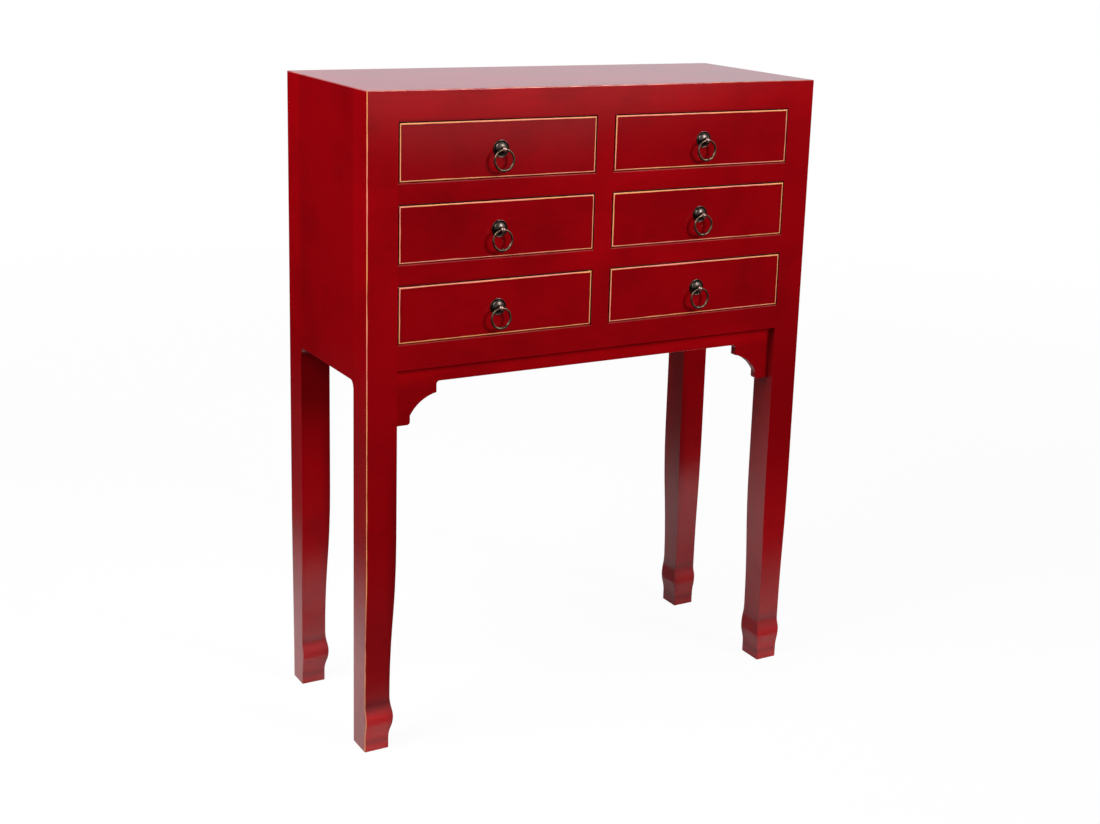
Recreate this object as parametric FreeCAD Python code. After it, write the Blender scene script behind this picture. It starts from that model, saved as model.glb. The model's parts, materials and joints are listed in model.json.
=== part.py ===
import FreeCAD, Part
import math
import os

# A chest of six small drawers on four tall hoof-footed legs, with ring pulls.
# Millimetres, +Z up, front towards -Y. The origin lies on the floor, under the middle of
# the chest's whole depth, pulls included.

# Case
case_width = 630.0
case_depth = 252.0
case_height = 816.0
top_thickness = 18.0
arris_radius = 1.2              # worn rounding of the outer edges

# Legs: plain posts, drawn in to a neck and swelling again to a hoof above the floor
leg_width = 39.0
leg_depth = 40.0
taper_start = 275.0             # height at which a leg begins to narrow
inner_neck_height = 72.0
front_neck_height = 60.0
hoof_height = 43.0
sole_height = 14.0
inner_neck_inset = 6.2
inner_hoof_inset = 3.0
inner_sole_inset = 7.5
front_neck_inset = 4.5
front_hoof_inset = 0.5
front_sole_inset = 4.5
rear_taper = 4.0                # a rear leg's back face comes forward by this at the floor
leg_tenon = 18.0                # square stub that enters the top panel
leg_tenon_height = 9.0

# Front frame, joined with blind mortises and tenons
top_rail_height = 18.0
drawer_rail_height = 25.0
bottom_rail_height = 31.5
rail_depth = 24.0
centre_stile_width = 25.0
tenon_length = 16.0
tenon_thickness = 8.0
tenon_shoulder = 4.0
stub_tenon_length = 6.0
glue_gap = 0.1

# Apron under the front frame, with a curved bracket at each leg
apron_setback = 10.0
apron_thickness = 10.0
apron_strip = 20.5              # height of the plain strip below the bottom rail
bracket_drop = 71.2             # height of a bracket below the bottom rail
bracket_length = 58.3
bracket_foot = 21.5
bracket_toe_radius = 4.0
bracket_toe_rise = 11.5
bracket_bow = 4.7               # how far the bracket's arc bows from its chord
bracket_step = 14.0             # height of the nick between the arc and the strip
bracket_nick = 2.0
nick_cove = 4.0
apron_housing = 6.0             # depth of the bracket ends in the legs
apron_tongue = 5.0
apron_tongue_thickness = 5.0

# Panels and partition
side_thickness = 15.0
side_skirt = 17.6               # how far the side panels reach below the bottom rail
side_ear_radius = 8.0
side_ear_flat = 1.5
side_tongue = 8.0
side_tongue_thickness = 6.0
side_tongue_stop = 12.0
back_thickness = 6.0
back_inset = 8.0
back_groove = 8.0
rear_rail_inset = 3.0
rear_rail_depth = 22.0
bottom_thickness = 8.0
bottom_groove = 5.0
bottom_notch_gap = 0.5
partition_thickness = 12.0
partition_dado = 3.0

# Drawers: lapped fronts, grooved bottoms, housed backs
drawer_front_height = 67.7
drawer_front_thickness = 15.0
drawer_gap = 1.5                # dark line around each front
drawer_front_round = 0.8
drawer_side_thickness = 10.0
drawer_side_height = 54.0
drawer_lap = 7.0                # wood left in front of the sides
drawer_back_thickness = 10.0
drawer_back_setback = 8.0
drawer_back_lower = 4.0         # the back stops this far below the top of the sides
drawer_housing = 4.0
drawer_bottom_thickness = 4.0
drawer_bottom_rise = 6.0
drawer_groove = 5.0
drawer_rear_gap = 0.8
running_gap = 0.2
runner_thickness = 11.0
runner_guide_height = 18.0

# Ring pulls
rosette_diameter = 21.0
rosette_rim = 1.2
dome_diameter = 16.6
dome_height = 4.6
post_diameter = 4.0
post_collar_diameter = 6.0
post_collar_thickness = 0.8
ball_diameter = 6.2
pivot_out = 9.3                 # the ring's pivot stands this far from the drawer front
nut_flats = 7.0
nut_thickness = 3.2
post_end = 1.0                  # end of the shank showing behind the nut
shank_gap = 0.1
ring_radius = 12.6              # to the middle of the wire
ring_wire_top = 2.3
ring_wire_low = 3.3
ring_play = 0.2
knop_diameter = 4.6
knop_tip = 4.2                  # the knop's point below the middle of the wire

# Derived places
pull_reach = pivot_out + ball_diameter / 2
front_y = (pull_reach - case_depth) / 2
back_y = front_y + case_depth
under_top = case_height - top_thickness
leg_inner = case_width / 2 - leg_width
side_inner = case_width / 2 - side_thickness
leg_back = front_y + leg_depth
rear_leg_front = back_y - leg_depth
rail_back = front_y + rail_depth
opening_height = drawer_front_height + 2 * drawer_gap
row_pitch = opening_height + drawer_rail_height
opening_top = under_top - top_rail_height
row_names = ["upper", "middle", "lower"]
opening_lows = [opening_top - opening_height - row * row_pitch for row in range(len(row_names))]
bottom_rail_top = opening_lows[-1]
rail_low = bottom_rail_top - bottom_rail_height
side_low = rail_low - side_skirt
back_front = back_y - back_inset - back_thickness
rear_rail_back = back_y - rear_rail_inset
rear_rail_front = rear_rail_back - rear_rail_depth
bottom_top = bottom_rail_top - runner_thickness
bottom_low = bottom_top - bottom_thickness
drawer_back = back_front - drawer_rear_gap


def point(x, y, z):
    return FreeCAD.Vector(x, y, z)


def box(x, y, z, gap=0.0):
    # A block between pairs of limits, grown by gap on every side.
    corner = point(x[0] - gap, y[0] - gap, z[0] - gap)
    grow = 2 * gap
    return Part.makeBox(x[1] - x[0] + grow, y[1] - y[0] + grow, z[1] - z[0] + grow, corner)


def mirrored(shape):
    return shape.mirror(point(0, 0, 0), point(1, 0, 0))


def line(start, end):
    return Part.LineSegment(start, end).toShape()


def arc(start, middle, end):
    return Part.Arc(start, middle, end).toShape()


def prism(edges, direction):
    return Part.Face(Part.Wire(edges)).extrude(direction)


def s_bend(place, start, end):
    # Two equal arcs from start to end, upright at both ends; place turns (inset, height) to a point.
    if start[0] == end[0]:
        return [line(place(*start), place(*end))]
    half_inset = (end[0] - start[0]) / 2
    half_height = (end[1] - start[1]) / 2
    middle = (start[0] + half_inset, start[1] + half_height)
    radius = (half_inset ** 2 + half_height ** 2) / (2 * abs(half_inset))
    half_turn = math.atan2(abs(half_inset), abs(half_height))
    bow = math.copysign(radius * (1 - math.cos(half_turn)), half_inset)
    run = math.copysign(radius * math.sin(half_turn), half_height)
    first = place(start[0] + bow, start[1] + run)
    second = place(end[0] - bow, end[1] - run)
    return [arc(place(*start), first, place(*middle)), arc(place(*middle), second, place(*end))]


def swelling(place, stations):
    edges = []
    for start, end in zip(stations, stations[1:]):
        edges += s_bend(place, start, end)
    return edges


def leg_blank(front_face, rear_inset):
    # A left-hand leg standing with its front face at front_face.
    left = -case_width / 2
    rear_face = front_face + leg_depth
    inner = [(0, under_top), (0, taper_start), (inner_neck_inset, inner_neck_height),
             (inner_hoof_inset, hoof_height), (inner_sole_inset, sole_height), (inner_sole_inset, 0)]
    front = [(0, under_top), (0, taper_start), (front_neck_inset, front_neck_height),
             (front_hoof_inset, hoof_height), (front_sole_inset, sole_height), (front_sole_inset, 0)]
    rear = [(0, under_top), (0, taper_start), (rear_inset, 0)]

    def on_inner(inset, height):
        return point(left + leg_width - inset, front_face, height)

    def on_front(inset, height):
        return point(left, front_face + inset, height)

    def on_rear(inset, height):
        return point(left, rear_face - inset, height)

    outer = [line(on_inner(inner_sole_inset, 0), point(left, front_face, 0)),
             line(point(left, front_face, 0), point(left, front_face, under_top)),
             line(point(left, front_face, under_top), on_inner(0, under_top))]
    front_view = prism(swelling(on_inner, inner) + outer, point(0, leg_depth, 0))
    sole = [line(on_front(front_sole_inset, 0), on_rear(rear_inset, 0))]
    head = [line(on_rear(0, under_top), on_front(0, under_top))]
    rear_edges = swelling(on_rear, rear[::-1])
    side_view = prism(swelling(on_front, front) + sole + rear_edges + head, point(leg_width, 0, 0))
    return front_view.common(side_view)


def round_arris(leg, near_front, front_face):
    # Rounds the leg's outer upright corner, at the front or at the rear.
    edges = []
    for edge in leg.Edges:
        limits = edge.BoundBox
        middle = (limits.YMin + limits.YMax) / 2
        on_side = limits.XMax < -leg_inner - leg_width / 2
        at_front = middle < front_face + leg_depth / 2
        if on_side and limits.ZLength > arris_radius and at_front == near_front:
            edges.append(edge)
    return leg.makeFillet(arris_radius, edges)


def leg_stub(front_face):
    # Limits of the stub tenon on a left-hand leg's top.
    x = -case_width / 2 + (leg_width - leg_tenon) / 2
    y = front_face + (leg_depth - leg_tenon) / 2
    return (x, x + leg_tenon), (y, y + leg_tenon), (under_top, under_top + leg_tenon_height)


def rail_tenon(front, depth, low, high):
    # Limits of the tenon on a rail's left-hand end.
    y = front + (depth - tenon_thickness) / 2
    x = -leg_inner - tenon_length
    return (x, -leg_inner), (y, y + tenon_thickness), (low + tenon_shoulder, high - tenon_shoulder)


def front_rails():
    # Name and height limits of each rail of the front frame.
    rails = {"top_rail": (opening_top, under_top)}
    rails["upper_drawer_rail"] = (opening_lows[0] - drawer_rail_height, opening_lows[0])
    rails["lower_drawer_rail"] = (opening_lows[1] - drawer_rail_height, opening_lows[1])
    rails["bottom_rail"] = (rail_low, bottom_rail_top)
    return rails


def rail_blank(front, depth, low, high):
    rail = box((-leg_inner, leg_inner), (front, front + depth), (low, high))
    tenon = box(*rail_tenon(front, depth, low, high))
    return rail.fuse([tenon, mirrored(tenon)]).removeSplitter()


def stile_stub(low, high):
    # Limits of a stub tenon between the centre stile and a rail.
    half = centre_stile_width / 2 - tenon_shoulder
    y = front_y + (rail_depth - tenon_thickness) / 2
    return (-half, half), (y, y + tenon_thickness), (low, high)


def stile_stubs():
    top_stub = stile_stub(opening_top, opening_top + stub_tenon_length)
    low_stub = stile_stub(bottom_rail_top - stub_tenon_length, bottom_rail_top)
    return top_stub, low_stub


def crossing(low, high, rear_half):
    # Limits of the half of a rail crossing that the rail or the stile gives up.
    half_depth = rail_depth / 2
    start = front_y + half_depth if rear_half else front_y
    half_width = centre_stile_width / 2
    return (-half_width, half_width), (start, start + half_depth), (low, high)


def apron_limits():
    front = front_y + apron_setback
    return front, front + apron_thickness


def apron_end():
    # Limits of the apron's left-hand end inside the leg.
    return (-leg_inner - apron_housing, -leg_inner), apron_limits(), (rail_low - bracket_drop, rail_low)


def apron_tongue_limits():
    middle = sum(apron_limits()) / 2
    half = apron_tongue_thickness / 2
    reach = leg_inner - tenon_length
    return (-reach, reach), (middle - half, middle + half), (rail_low, rail_low + apron_tongue)


def side_tongue_limits(front_end):
    # Limits of a left-hand side panel's tongue, in the front leg or in the rear leg.
    x = -case_width / 2 + (side_thickness - side_tongue_thickness) / 2
    y = leg_back - side_tongue if front_end else rear_leg_front
    height = (side_low + side_tongue_stop, under_top - side_tongue_stop)
    return (x, x + side_tongue_thickness), (y, y + side_tongue), height


def back_limits():
    reach = leg_inner + back_groove
    return (-reach, reach), (back_front, back_front + back_thickness), (bottom_rail_top, under_top)


def bottom_limits():
    reach = side_inner + bottom_groove
    depth = (rail_back - bottom_groove, rear_rail_front + bottom_groove)
    return (-reach, reach), depth, (bottom_low, bottom_top)


def partition_limits():
    half = partition_thickness / 2
    height = (bottom_top - partition_dado, under_top + partition_dado)
    return (-half, half), (rail_back, back_front), height


def front_leg():
    leg = round_arris(leg_blank(front_y, 0.0), True, front_y)
    leg = leg.fuse(box(*leg_stub(front_y)))
    sockets = [box(*rail_tenon(front_y, rail_depth, low, high), glue_gap)
               for low, high in front_rails().values()]
    sockets.append(box(*apron_end(), glue_gap))
    sockets.append(box(*side_tongue_limits(True), glue_gap))
    return leg.cut(sockets)


def rear_leg():
    leg = round_arris(leg_blank(rear_leg_front, rear_taper), False, rear_leg_front)
    leg = leg.fuse(box(*leg_stub(rear_leg_front)))
    tenon = rail_tenon(rear_rail_front, rear_rail_depth, rail_low, bottom_rail_top)
    return leg.cut([box(*limits, glue_gap) for limits in (tenon, side_tongue_limits(False), back_limits())])


def top_panel():
    half = case_width / 2
    panel = box((-half, half), (front_y, back_y), (under_top, case_height))
    edges = [edge for edge in panel.Edges if edge.BoundBox.ZMax > under_top + top_thickness / 2]
    panel = panel.makeFillet(arris_radius, edges)
    stubs = [box(*leg_stub(face), glue_gap) for face in (front_y, rear_leg_front)]
    sockets = stubs + [mirrored(stub) for stub in stubs]
    sockets.append(box(*partition_limits(), glue_gap))
    return panel.cut(sockets)


def side_panel():
    # The left-hand side, with an ear curving down each leg at its lower edge.
    left = -case_width / 2
    tip = side_low - side_ear_radius
    lean = side_ear_radius * math.sqrt(0.5)

    def on_side(y, z):
        return point(left, y, z)

    start = leg_back + side_ear_flat
    end = rear_leg_front - side_ear_flat
    first = on_side(start + side_ear_radius - lean, tip + lean)
    second = on_side(end - side_ear_radius + lean, tip + lean)
    edges = [line(on_side(leg_back, under_top), on_side(leg_back, tip)),
             line(on_side(leg_back, tip), on_side(start, tip)),
             arc(on_side(start, tip), first, on_side(start + side_ear_radius, side_low)),
             line(on_side(start + side_ear_radius, side_low), on_side(end - side_ear_radius, side_low)),
             arc(on_side(end - side_ear_radius, side_low), second, on_side(end, tip)),
             line(on_side(end, tip), on_side(rear_leg_front, tip)),
             line(on_side(rear_leg_front, tip), on_side(rear_leg_front, under_top)),
             line(on_side(rear_leg_front, under_top), on_side(leg_back, under_top))]
    panel = prism(edges, point(side_thickness, 0, 0))
    tongues = [box(*side_tongue_limits(front_end)) for front_end in (True, False)]
    return panel.fuse(tongues).removeSplitter().cut(box(*bottom_limits(), glue_gap))


def front_rail(name):
    low, high = front_rails()[name]
    rail = rail_blank(front_y, rail_depth, low, high)
    if name == "top_rail":
        return rail.cut(box(*stile_stubs()[0], glue_gap))
    if name == "bottom_rail":
        grooves = [stile_stubs()[1], apron_tongue_limits(), bottom_limits()]
        return rail.cut([box(*limits, glue_gap) for limits in grooves])
    return rail.cut(box(*crossing(low, high, False)))


def centre_stile():
    half = centre_stile_width / 2
    stile = box((-half, half), (front_y, rail_back), (bottom_rail_top, opening_top))
    stile = stile.fuse([box(*stub) for stub in stile_stubs()]).removeSplitter()
    drawer_rails = [front_rails()[name] for name in ("upper_drawer_rail", "lower_drawer_rail")]
    return stile.cut([box(*crossing(low, high, True)) for low, high in drawer_rails])


def rear_rail():
    rail = rail_blank(rear_rail_front, rear_rail_depth, rail_low, bottom_rail_top)
    return rail.cut(box(*bottom_limits(), glue_gap))


def front_apron():
    # The left half, from the housed end to the middle, then mirrored.
    front, rear = apron_limits()
    foot = rail_low - bracket_drop
    strip = rail_low - apron_strip
    cusp = strip - bracket_step
    toe_x = -leg_inner + bracket_foot
    step_x = -leg_inner + bracket_length - bracket_nick
    toe_top = foot + bracket_toe_rise
    lean = math.sqrt(0.5)

    def on_face(x, z):
        return point(x, front, z)

    chord = point(step_x - toe_x, 0, cusp - toe_top)
    outward = point(-chord.z, 0, chord.x).normalize()
    bow_point = on_face((toe_x + step_x) / 2, (toe_top + cusp) / 2) + outward * bracket_bow
    toe_start = on_face(toe_x - bracket_toe_radius, foot)
    toe_middle = on_face(toe_x - bracket_toe_radius * (1 - lean), foot + bracket_toe_radius * (1 - lean))
    toe_end = on_face(toe_x, foot + bracket_toe_radius)
    cove_middle = on_face(step_x + nick_cove * (1 - lean), strip - nick_cove * (1 - lean))
    end_x = -leg_inner - apron_housing
    edges = [line(on_face(0, rail_low), on_face(end_x, rail_low)),
             line(on_face(end_x, rail_low), on_face(end_x, foot)),
             line(on_face(end_x, foot), toe_start),
             arc(toe_start, toe_middle, toe_end),
             line(toe_end, on_face(toe_x, toe_top)),
             arc(on_face(toe_x, toe_top), bow_point, on_face(step_x, cusp)),
             line(on_face(step_x, cusp), on_face(step_x, strip - nick_cove)),
             arc(on_face(step_x, strip - nick_cove), cove_middle, on_face(step_x + nick_cove, strip)),
             line(on_face(step_x + nick_cove, strip), on_face(0, strip)),
             line(on_face(0, strip), on_face(0, rail_low))]
    half = prism(edges, point(0, rear - front, 0))
    return half.fuse([mirrored(half), box(*apron_tongue_limits())]).removeSplitter()


def back_panel():
    return box(*back_limits())


def bottom_panel():
    panel = box(*bottom_limits())
    corner_x = (-case_width / 2, -leg_inner)
    level = (bottom_low, bottom_top)
    front_corner = box(corner_x, (front_y, leg_back), level, bottom_notch_gap)
    rear_corner = box(corner_x, (rear_leg_front, back_y), level, bottom_notch_gap)
    corners = [front_corner, rear_corner]
    corners += [mirrored(corner) for corner in corners]
    return panel.cut(corners + [box(*partition_limits(), glue_gap)])


def centre_partition():
    depth = (rear_rail_front, rear_rail_back)
    rail_notch = box((-leg_inner, leg_inner), depth, (rail_low, bottom_rail_top), glue_gap)
    return box(*partition_limits()).cut(rail_notch)


def drawer_runners():
    # Two rebated runners for each drawer: a ledge under its side and a guide beside it.
    ledge_reach = drawer_gap + drawer_side_thickness
    length = (leg_back, rear_leg_front)
    runners = []
    for low in opening_lows:
        ledge = (low - runner_thickness, low)
        guide = (low - runner_thickness, low + runner_guide_height)
        half_stile = centre_stile_width / 2
        outer = box((-side_inner, -leg_inner), length, guide)
        outer = outer.fuse(box((-leg_inner, -leg_inner + ledge_reach), length, ledge)).removeSplitter()
        inner = box((-half_stile, -partition_thickness / 2), length, guide)
        inner = inner.fuse(box((-half_stile - ledge_reach, -half_stile), length, ledge)).removeSplitter()
        runners += [outer, inner, mirrored(outer), mirrored(inner)]
    return Part.makeCompound(runners)


def drawer_width_limits():
    # A left-hand drawer front.
    return -leg_inner + drawer_gap, -centre_stile_width / 2 - drawer_gap


def drawer_middle(low):
    # Centre of a left-hand drawer front, where its pull sits.
    return sum(drawer_width_limits()) / 2, low + opening_height / 2


def drawer_side_limits(low):
    # Limits of the outer one of a left-hand drawer's two sides.
    left = drawer_width_limits()[0]
    start = low + running_gap
    return ((left, left + drawer_side_thickness), (front_y + drawer_lap, drawer_back),
            (start, start + drawer_side_height))


def drawer_bottom_limits(low):
    left, right = drawer_width_limits()
    inset = drawer_side_thickness - drawer_groove
    start = low + running_gap + drawer_bottom_rise
    front = front_y + drawer_front_thickness - drawer_groove
    return (left + inset, right - inset), (front, drawer_back), (start, start + drawer_bottom_thickness)


def drawer_back_limits(low):
    left, right = drawer_width_limits()
    inset = drawer_side_thickness - drawer_housing
    rear = drawer_back - drawer_back_setback
    floor = drawer_bottom_limits(low)[2][1]
    top = low + running_gap + drawer_side_height - drawer_back_lower
    return (left + inset, right - inset), (rear - drawer_back_thickness, rear), (floor, top)


def pull_axis_cylinder(x, z, radius, inner, outer):
    # A round bar along the pull's axis between two distances out from the drawer front.
    return Part.makeCylinder(radius, outer - inner, point(x, front_y - inner, z), point(0, -1, 0))


def drawer_front(low):
    left, right = drawer_width_limits()
    rear = front_y + drawer_front_thickness
    height = (low + drawer_gap, low + opening_height - drawer_gap)
    front = box((left, right), (front_y, rear), height)
    face_edges = [edge for edge in front.Edges if edge.BoundBox.YMax < front_y + drawer_front_thickness / 2]
    front = front.makeFillet(drawer_front_round, face_edges)
    lap = (front_y + drawer_lap, rear)
    laps = [box((left, left + drawer_side_thickness), lap, height),
            box((right - drawer_side_thickness, right), lap, height)]
    x, z = drawer_middle(low)
    hole = pull_axis_cylinder(x, z, post_diameter / 2 + shank_gap, -drawer_front_thickness, 0)
    return front.cut(laps + [box(*drawer_bottom_limits(low), glue_gap), hole])


def drawer_sides(low):
    side = box(*drawer_side_limits(low))
    side = side.cut([box(*drawer_bottom_limits(low), glue_gap), box(*drawer_back_limits(low), glue_gap)])
    middle = drawer_middle(low)[0]
    other = side.mirror(point(middle, 0, 0), point(1, 0, 0))
    return Part.makeCompound([side, other])


def drawer_back_board(low):
    return box(*drawer_back_limits(low))


def drawer_bottom(low):
    return box(*drawer_bottom_limits(low))


def dome_radius():
    rise = dome_height - rosette_rim
    return ((dome_diameter / 2) ** 2 + rise ** 2) / (2 * rise)


def post_seat():
    # How far out the dome stands at the edge of its hole.
    radius = dome_radius()
    return dome_height - radius + math.sqrt(radius ** 2 - (post_diameter / 2 + shank_gap) ** 2)


def pull_rosette(low):
    x, z = drawer_middle(low)
    radius = dome_radius()
    half_turn = math.asin(dome_diameter / 2 / radius) / 2

    def at(distance, out):
        return point(x + distance, front_y - out, z)

    dome_middle = at(radius * math.sin(half_turn), dome_height - radius * (1 - math.cos(half_turn)))
    edges = [line(at(0, 0), at(rosette_diameter / 2, 0)),
             line(at(rosette_diameter / 2, 0), at(rosette_diameter / 2, rosette_rim)),
             line(at(rosette_diameter / 2, rosette_rim), at(dome_diameter / 2, rosette_rim)),
             arc(at(dome_diameter / 2, rosette_rim), dome_middle, at(0, dome_height)),
             line(at(0, dome_height), at(0, 0))]
    rosette = Part.Face(Part.Wire(edges)).revolve(at(0, 0), point(0, 1, 0), 360)
    return rosette.cut(pull_axis_cylinder(x, z, post_diameter / 2 + shank_gap, 0, dome_height))


def ring_sag():
    # How far the ring's wire curves away from a straight line inside the ball.
    return ring_radius - math.sqrt(ring_radius ** 2 - (ball_diameter / 2) ** 2)


def pull_post(low):
    # The ball-ended post with its cross hole, and the nut inside the drawer.
    x, z = drawer_middle(low)
    seat = post_seat()
    inner = -drawer_front_thickness - nut_thickness - post_end
    shank = pull_axis_cylinder(x, z, post_diameter / 2, inner, pivot_out)
    collar = pull_axis_cylinder(x, z, post_collar_diameter / 2, seat, seat + post_collar_thickness)
    ball = Part.makeSphere(ball_diameter / 2, point(x, front_y - pivot_out, z))
    hole_radius = ring_wire_top / 2 + ring_sag() + ring_play
    start = point(x - ball_diameter, front_y - pivot_out, z)
    hole = Part.makeCylinder(hole_radius, 2 * ball_diameter, start, point(1, 0, 0))
    post = shank.fuse([collar, ball]).removeSplitter().cut(hole)
    corner = nut_flats / math.sqrt(3)
    rear = front_y + drawer_front_thickness
    turns = [math.radians(60 * step) for step in range(7)]
    corners = [point(x + corner * math.cos(turn), rear, z + corner * math.sin(turn)) for turn in turns]
    nut = Part.Face(Part.makePolygon(corners)).extrude(point(0, nut_thickness, 0))
    bore = pull_axis_cylinder(x, z, post_diameter / 2 + shank_gap, inner, 0)
    return Part.makeCompound([post, nut.cut(bore)])


def pull_ring(low):
    # A round ring, thicker below, hanging from the post with a pointed knop at its foot.
    x, z = drawer_middle(low)
    y = front_y - pivot_out
    top = point(x, y, z)
    foot = point(x, y, z - 2 * ring_radius)
    side = point(x + ring_radius, y, z - ring_radius)
    spine = Part.Wire([arc(top, side, foot)])
    thin = Part.Wire(Part.makeCircle(ring_wire_top / 2, top, point(1, 0, 0)))
    thick = Part.Wire(Part.makeCircle(ring_wire_low / 2, foot, point(1, 0, 0)))
    sweep = Part.BRepOffsetAPI.MakePipeShell(spine)
    sweep.add(thin)
    sweep.add(thick)
    sweep.build()
    sweep.makeSolid()
    half = Part.Solid(sweep.shape())
    other = half.mirror(top, point(1, 0, 0))
    ball = Part.makeSphere(knop_diameter / 2, foot)
    tip = Part.makeCone(0, knop_diameter / 2, knop_tip, foot - point(0, 0, knop_tip), point(0, 0, 1))
    return half.fuse([other, ball, tip])


def case_nodes():
    nodes = {"top_panel": top_panel(), "back_panel": back_panel(), "bottom_panel": bottom_panel(),
             "centre_partition": centre_partition(), "centre_stile": centre_stile(),
             "rear_rail": rear_rail(), "front_apron": front_apron(), "drawer_runners": drawer_runners()}
    for name in front_rails():
        nodes[name] = front_rail(name)
    left_pieces = {"front_{}_leg": front_leg(), "rear_{}_leg": rear_leg(), "{}_side_panel": side_panel()}
    for name, piece in left_pieces.items():
        nodes[name.format("left")] = piece
        nodes[name.format("right")] = mirrored(piece)
    return nodes


def drawer_nodes():
    makers = {"front": drawer_front, "sides": drawer_sides, "back": drawer_back_board,
              "bottom": drawer_bottom, "pull_rosette": pull_rosette, "pull_post": pull_post,
              "pull_ring": pull_ring}
    nodes = {}
    for row, low in zip(row_names, opening_lows):
        across = point(-2 * drawer_middle(low)[0], 0, 0)
        for piece, make in makers.items():
            shape = make(low)
            nodes[f"{row}_left_drawer_{piece}"] = shape
            nodes[f"{row}_right_drawer_{piece}"] = shape.translated(across)
    return nodes


os.makedirs("parts", exist_ok=True)
for node, shape in {**case_nodes(), **drawer_nodes()}.items():
    shape.exportStep(f"parts/{node}.step")
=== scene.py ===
import json
import math

import bmesh
import bpy
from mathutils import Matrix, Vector

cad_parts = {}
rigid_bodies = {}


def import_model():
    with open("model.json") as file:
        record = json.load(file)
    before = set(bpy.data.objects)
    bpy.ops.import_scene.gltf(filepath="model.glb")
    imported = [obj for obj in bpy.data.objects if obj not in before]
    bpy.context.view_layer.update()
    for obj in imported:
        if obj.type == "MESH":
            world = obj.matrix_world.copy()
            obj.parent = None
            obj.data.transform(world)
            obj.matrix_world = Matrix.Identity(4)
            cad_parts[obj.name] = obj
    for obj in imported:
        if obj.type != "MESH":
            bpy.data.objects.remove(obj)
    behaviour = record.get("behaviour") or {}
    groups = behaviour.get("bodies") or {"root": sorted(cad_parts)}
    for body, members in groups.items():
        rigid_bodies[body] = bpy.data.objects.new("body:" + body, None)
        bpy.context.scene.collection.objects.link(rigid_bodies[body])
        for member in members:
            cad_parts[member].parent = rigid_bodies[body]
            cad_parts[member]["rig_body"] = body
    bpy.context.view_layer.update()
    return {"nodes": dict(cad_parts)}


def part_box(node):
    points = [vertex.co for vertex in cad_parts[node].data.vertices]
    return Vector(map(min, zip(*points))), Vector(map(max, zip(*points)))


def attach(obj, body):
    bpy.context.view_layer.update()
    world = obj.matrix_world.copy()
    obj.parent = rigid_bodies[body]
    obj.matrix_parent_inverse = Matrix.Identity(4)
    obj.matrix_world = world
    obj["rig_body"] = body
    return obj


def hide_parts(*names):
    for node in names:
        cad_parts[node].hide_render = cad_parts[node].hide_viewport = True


# A red lacquered chest of six small drawers on tall legs, its edges rubbed through to the ochre ground.

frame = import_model()
nodes = frame["nodes"]
mm = 0.001
rows = ("upper", "middle", "lower")
sides = ("left", "right")
drawers = [f"{row}_{side}_drawer" for row in rows for side in sides]
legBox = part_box("front_left_leg")
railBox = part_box("bottom_rail")
openingSide = -legBox[1].x                         # half the width between the legs
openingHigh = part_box("top_rail")[0].z
railTops = [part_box(name)[1].z for name in ("upper_drawer_rail", "lower_drawer_rail", "bottom_rail")]
railFeet = [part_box(name)[0].z for name in ("top_rail", "upper_drawer_rail", "lower_drawer_rail")]
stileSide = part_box("centre_stile")[1].x
caseLow = Vector(legBox[0])                        # outer corners of the case, without the pulls
caseHigh = Vector(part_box("top_panel")[1])
halfPanel = (caseHigh.y - caseLow.y) / 2 - (legBox[1].y - legBox[0].y)     # half the depth of a side panel
scene = bpy.context.scene
print("frame loaded:", len(nodes), "nodes")


def linearColour(hexCode):
    channels = [int(hexCode[i:i + 2], 16) / 255 for i in (1, 3, 5)]
    return [c / 12.92 if c <= 0.04045 else ((c + 0.055) / 1.055) ** 2.4 for c in channels] + [1.0]


def addNode(tree, kind, settings={}, links={}):
    # settings: the node's options, and its inputs by name or number; links: input from a node or a socket
    node = tree.nodes.new("ShaderNode" + kind)
    for key, value in settings.items():
        if isinstance(key, str) and hasattr(node, key):
            setattr(node, key, value)
        else:
            node.inputs[key].default_value = value
    for key, source in links.items():
        socket = source.outputs[0] if isinstance(source, bpy.types.Node) else source
        tree.links.new(socket, node.inputs[key])
    return node


def newMaterial(name):
    material = bpy.data.materials.new(name)
    material.use_nodes = True
    material.node_tree.nodes.clear()
    return material, material.node_tree


def restPlace(tree):
    # a point's place and facing on the piece at rest, in metres; both move with the piece's body
    coords = addNode(tree, "TexCoord").outputs
    place = addNode(tree, "SeparateXYZ", {}, {0: coords["Object"]}).outputs
    facing = addNode(tree, "SeparateXYZ", {}, {0: coords["Normal"]}).outputs
    return coords["Object"], place, facing


def apart(tree, value, level):
    # how far a value lies from a level, to either side
    offset = addNode(tree, "Math", {"operation": "SUBTRACT", 1: level}, {0: value})
    return addNode(tree, "Math", {"operation": "ABSOLUTE"}, {0: offset})


def strongest(tree, patches):
    # each patch is a mask and the limits that it stays within; where patches meet, the strongest one shows
    result = None
    for mask, *limits in patches:
        for limit in limits:
            mask = addNode(tree, "Math", {"operation": "MULTIPLY"}, {0: mask, 1: limit})
        result = addNode(tree, "Math", {"operation": "MAXIMUM"}, {0: result, 1: mask}) if result else mask
    return result


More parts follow.
